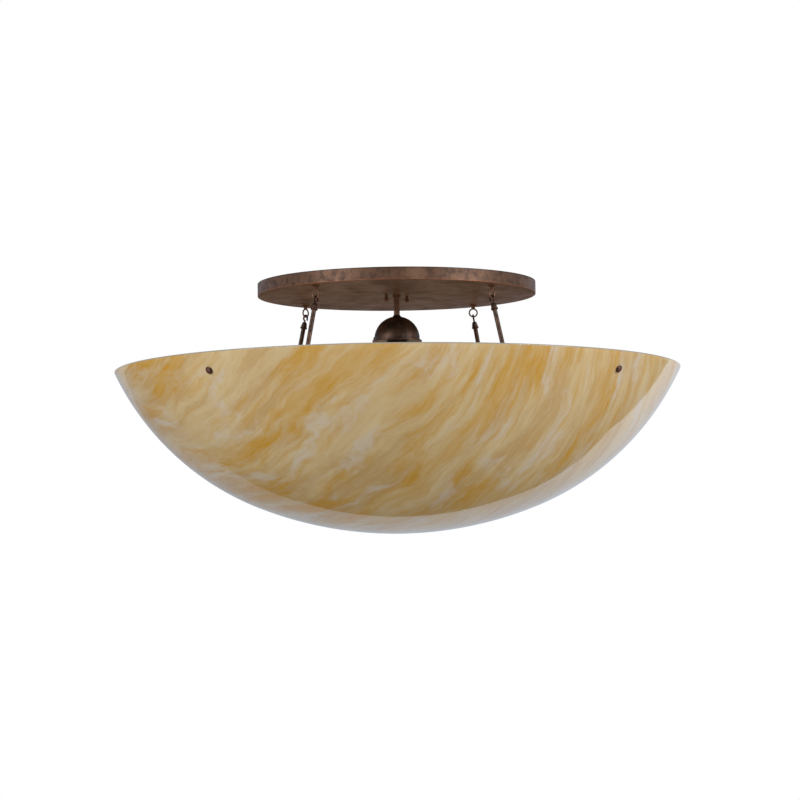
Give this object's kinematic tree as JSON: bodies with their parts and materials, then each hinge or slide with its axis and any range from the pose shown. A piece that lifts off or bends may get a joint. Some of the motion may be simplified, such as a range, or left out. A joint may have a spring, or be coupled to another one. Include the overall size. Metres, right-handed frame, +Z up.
{
  "type": "semi flush ceiling light",
  "caption": "Wide swirled open bowl hung by hooks and leaning rods under a round rust brown ceiling pan, with a domed lamp cluster on a centre stem.",
  "frame": {"origin": "middle of the pan in the plane of the ceiling, which is the middle of the strap's two box screw slots", "axes": "+Z up into the ceiling, -Y the front, +X to the right seen from the front; the strap lies along X and the four hanging rods lie on the diagonals"},
  "size_m": [1.2179, 1.218, 0.5405],
  "materials": {
    "pan_metal": "satin mottled rust brown",
    "rod_metal": "satin dark rust brown",
    "dome_metal": "satin dark bronze",
    "frame_metal": "satin rust brown",
    "zinc_steel": "zinc plated",
    "ground_green": "gloss",
    "bowl_acrylic": "gloss, swirled amber and white",
    "grommet_rubber": "matte",
    "porcelain": "gloss",
    "lamp_cap": "satin",
    "lamp_glass": "frosted",
    "shell_brass": "polished"
  },
  "bodies": {
    "canopy": {"canopy_plate": "pan_metal", "canopy_band": "pan_metal", "mounting_strap": "zinc_steel", "swivel_bar": "zinc_steel", "bar_eyelet": "zinc_steel", "ground_screw": "ground_green", "canopy_studs": "zinc_steel", "stud_locknuts": "zinc_steel", "hanging_loops": "rod_metal", "loop_collars": "rod_metal", "loop_locknuts": "zinc_steel", "stem_tube": "rod_metal", "stem_collar": "rod_metal", "stem_locknut": "zinc_steel", "socket_dome": "dome_metal", "dome_washer": "rod_metal", "cluster_plate": "dome_metal", "cluster_body": "dome_metal", "cluster_finial": "dome_metal", "lampholder_1": "porcelain", "lampholder_2": "porcelain", "lampholder_3": "porcelain", "lampholder_4": "porcelain", "lampholder_shells": "shell_brass"},
    "hung_bowl": {"rod_hooks": "rod_metal", "rod_couplers": "rod_metal", "rod_1": "rod_metal", "rod_2": "rod_metal", "rod_3": "rod_metal", "rod_4": "rod_metal", "rod_jam_nuts": "zinc_steel", "frame_arm_1": "frame_metal", "frame_arm_2": "frame_metal", "frame_arm_3": "frame_metal", "frame_arm_4": "frame_metal", "frame_hub": "frame_metal", "hub_bolts": "zinc_steel", "shade_bowl": "bowl_acrylic", "bowl_grommets": "grommet_rubber"},
    "ball_nut_left": {"ball_nut_left": "rod_metal"},
    "ball_nut_right": {"ball_nut_right": "rod_metal"},
    "knob_1": {"knob_1": "rod_metal"},
    "knob_2": {"knob_2": "rod_metal"},
    "knob_3": {"knob_3": "rod_metal"},
    "knob_4": {"knob_4": "rod_metal"},
    "lamp_1": {"bulb_base_1": "lamp_cap", "bulb_glass_1": "lamp_glass"},
    "lamp_2": {"bulb_base_2": "lamp_cap", "bulb_glass_2": "lamp_glass"},
    "lamp_3": {"bulb_base_3": "lamp_cap", "bulb_glass_3": "lamp_glass"},
    "lamp_4": {"bulb_base_4": "lamp_cap", "bulb_glass_4": "lamp_glass"},
    "thumbscrew_1": {"dome_thumbscrew_1": "rod_metal"},
    "thumbscrew_2": {"dome_thumbscrew_2": "rod_metal"},
    "thumbscrew_3": {"dome_thumbscrew_3": "rod_metal"}
  },
  "joints": [
    {"name": "bowl_lift", "type": "slide", "parent": "canopy", "child": "hung_bowl", "axis": [0, 0, 1], "range_m": [0, 0.004]},
    {"name": "ball_nut_left_turn", "type": "hinge", "parent": "canopy", "child": "ball_nut_left", "pos_m": [-0.0231, -0.00957, -0.03], "axis": [0, 0, -1], "continuous": true},
    {"name": "ball_nut_right_turn", "type": "hinge", "parent": "canopy", "child": "ball_nut_right", "pos_m": [0.0231, 0.00957, -0.03], "axis": [0, 0, -1], "continuous": true},
    {"name": "knob_1_turn", "type": "hinge", "parent": "hung_bowl", "child": "knob_1", "pos_m": [0.41843, 0.41843, -0.226], "axis": [0.6174, 0.6174, -0.4875], "continuous": true},
    {"name": "knob_2_turn", "type": "hinge", "parent": "hung_bowl", "child": "knob_2", "pos_m": [-0.41843, 0.41843, -0.226], "axis": [-0.6174, 0.6174, -0.4875], "continuous": true},
    {"name": "knob_3_turn", "type": "hinge", "parent": "hung_bowl", "child": "knob_3", "pos_m": [-0.41843, -0.41843, -0.226], "axis": [-0.6174, -0.6174, -0.4875], "continuous": true},
    {"name": "knob_4_turn", "type": "hinge", "parent": "hung_bowl", "child": "knob_4", "pos_m": [0.41843, -0.41843, -0.226], "axis": [0.6174, -0.6174, -0.4875], "continuous": true},
    {"name": "lamp_1_turn", "type": "hinge", "parent": "canopy", "child": "lamp_1", "pos_m": [0, 0, -0.136], "axis": [0.866, 0, -0.5], "continuous": true},
    {"name": "lamp_2_turn", "type": "hinge", "parent": "canopy", "child": "lamp_2", "pos_m": [0, 0, -0.136], "axis": [0, 0.866, -0.5], "continuous": true},
    {"name": "lamp_3_turn", "type": "hinge", "parent": "canopy", "child": "lamp_3", "pos_m": [0, 0, -0.136], "axis": [-0.866, 0, -0.5], "continuous": true},
    {"name": "lamp_4_turn", "type": "hinge", "parent": "canopy", "child": "lamp_4", "pos_m": [0, 0, -0.136], "axis": [0, -0.866, -0.5], "continuous": true},
    {"name": "dome_thumbscrew_1_turn", "type": "hinge", "parent": "canopy", "child": "thumbscrew_1", "pos_m": [0, -0.049, -0.1187], "axis": [0, -1, 0], "continuous": true},
    {"name": "dome_thumbscrew_2_turn", "type": "hinge", "parent": "canopy", "child": "thumbscrew_2", "pos_m": [0.04244, 0.0245, -0.1187], "axis": [0.866, 0.5, 0], "continuous": true},
    {"name": "dome_thumbscrew_3_turn", "type": "hinge", "parent": "canopy", "child": "thumbscrew_3", "pos_m": [-0.04244, 0.0245, -0.1187], "axis": [-0.866, 0.5, 0], "continuous": true}
  ]
}
